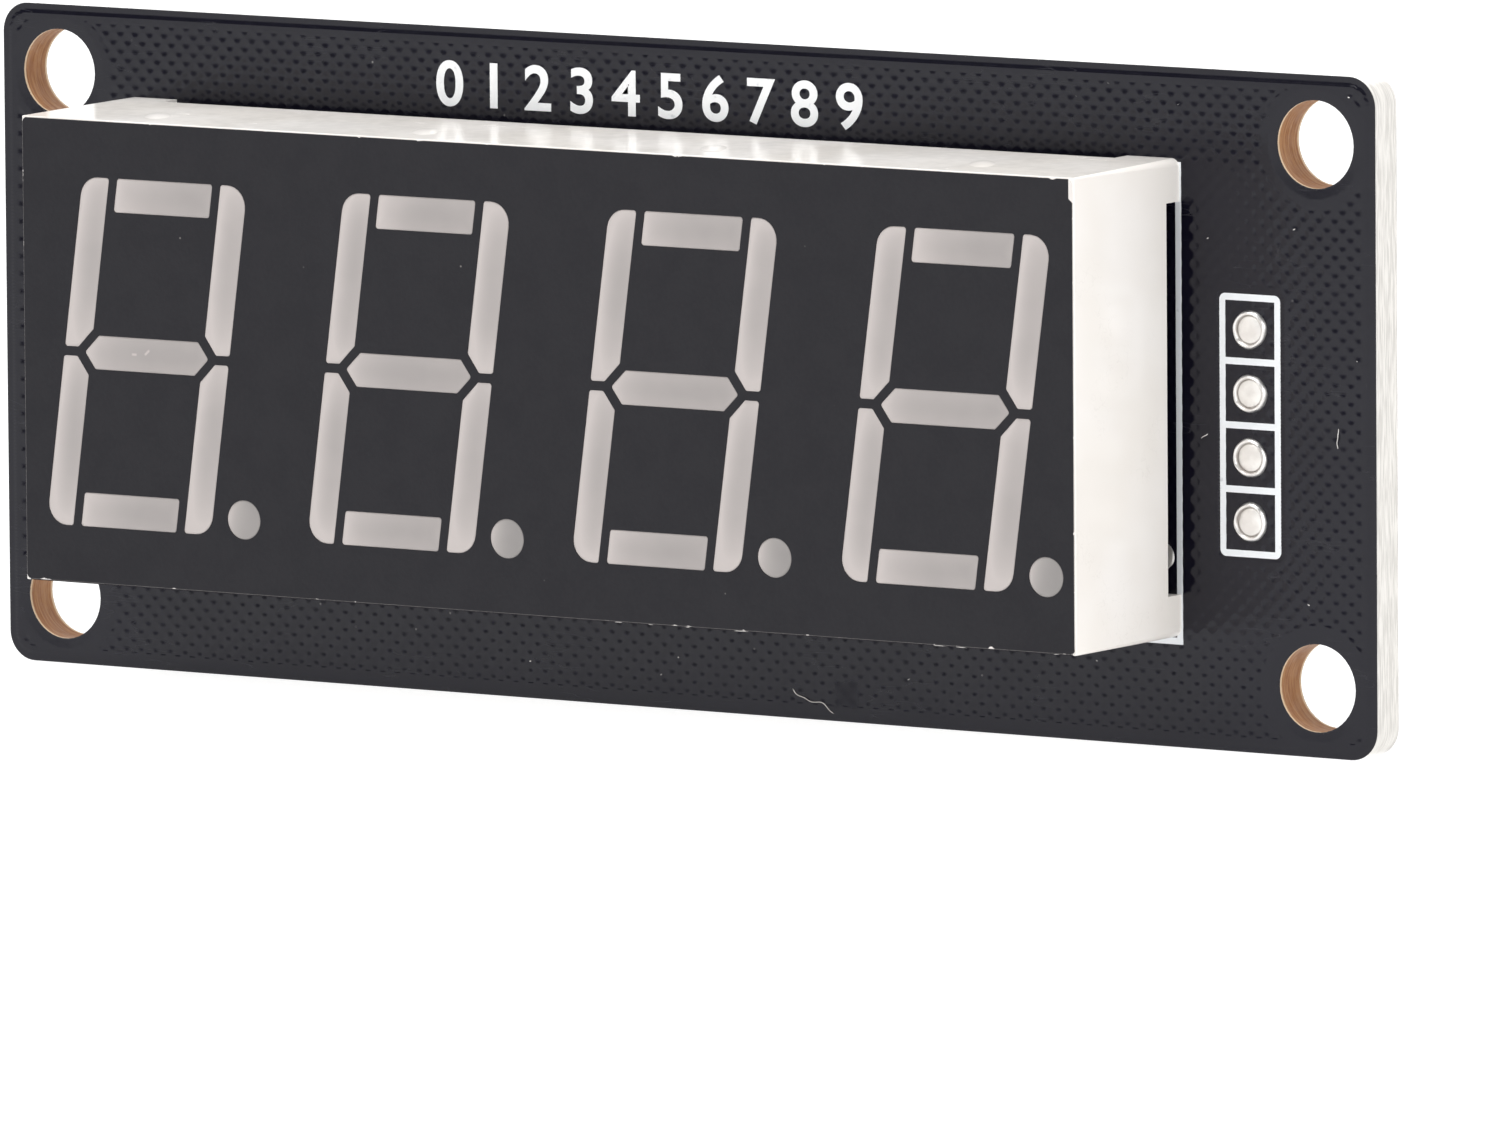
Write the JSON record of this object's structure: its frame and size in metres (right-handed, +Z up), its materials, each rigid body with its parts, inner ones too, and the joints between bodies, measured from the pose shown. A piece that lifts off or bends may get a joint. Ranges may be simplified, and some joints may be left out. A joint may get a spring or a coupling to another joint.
{
  "type": "seven segment display module",
  "caption": "Seven segment LED display with decimal points on a black driver board that has corner screw holes and a pin header behind; shows numbers in clocks, meters and counters.",
  "frame": {"origin": "middle of the mounting holes, on the front face of the driver board", "axes": "+X along the board towards its header, -Y out of the display's face, +Z up the digits"},
  "size_m": [0.0654, 0.0177, 0.027],
  "materials": {
    "board_mask": "glossy black solder mask over hatched copper",
    "board_print": "white screen print",
    "housing_white": "satin moulded plastic",
    "face_ink": "matte black ink, worn at its edges",
    "milky_resin": "cast resin with a frosted surface",
    "carrier_laminate": "bare glass fibre laminate",
    "led_chip": "sawn semiconductor",
    "solder": "bright solder",
    "header_insulator": "moulded black plastic",
    "gilt_pin": "gilt",
    "chip_moulding": "moulded epoxy",
    "tinned_lead": "tin plate",
    "resistor_film": "glazed black film on alumina",
    "capacitor_ceramic": "fired ceramic"
  },
  "bodies": {
    "root": {"driver_board": "board_mask", "board_print": "board_print", "display_housing": "housing_white", "face_ink": "face_ink", "resin_fill": "milky_resin", "carrier_board": "carrier_laminate", "led_chips": "led_chip", "display_pin_solder": "solder", "spare_pad": "solder", "header_body": "header_insulator", "driver_chip_body": "chip_moulding", "driver_chip_leads": "tinned_lead", "driver_chip_solder": "solder", "small_part_solder": "solder", "display_pin_1": "tinned_lead", "display_pin_2": "tinned_lead", "display_pin_3": "tinned_lead", "display_pin_4": "tinned_lead", "display_pin_5": "tinned_lead", "display_pin_6": "tinned_lead", "display_pin_7": "tinned_lead", "display_pin_8": "tinned_lead", "display_pin_9": "tinned_lead", "display_pin_10": "tinned_lead", "display_pin_11": "tinned_lead", "display_pin_12": "tinned_lead", "header_pin_1": "gilt_pin", "header_pin_2": "gilt_pin", "header_pin_3": "gilt_pin", "header_pin_4": "gilt_pin", "header_solder_1": "solder", "header_solder_2": "solder", "header_solder_3": "solder", "header_solder_4": "solder", "resistor_1_body": "resistor_film", "resistor_1_caps": "tinned_lead", "capacitor_1_body": "capacitor_ceramic", "capacitor_1_caps": "tinned_lead", "resistor_2_body": "resistor_film", "resistor_2_caps": "tinned_lead", "capacitor_2_body": "capacitor_ceramic", "capacitor_2_caps": "tinned_lead"}
  },
  "joints": []
}
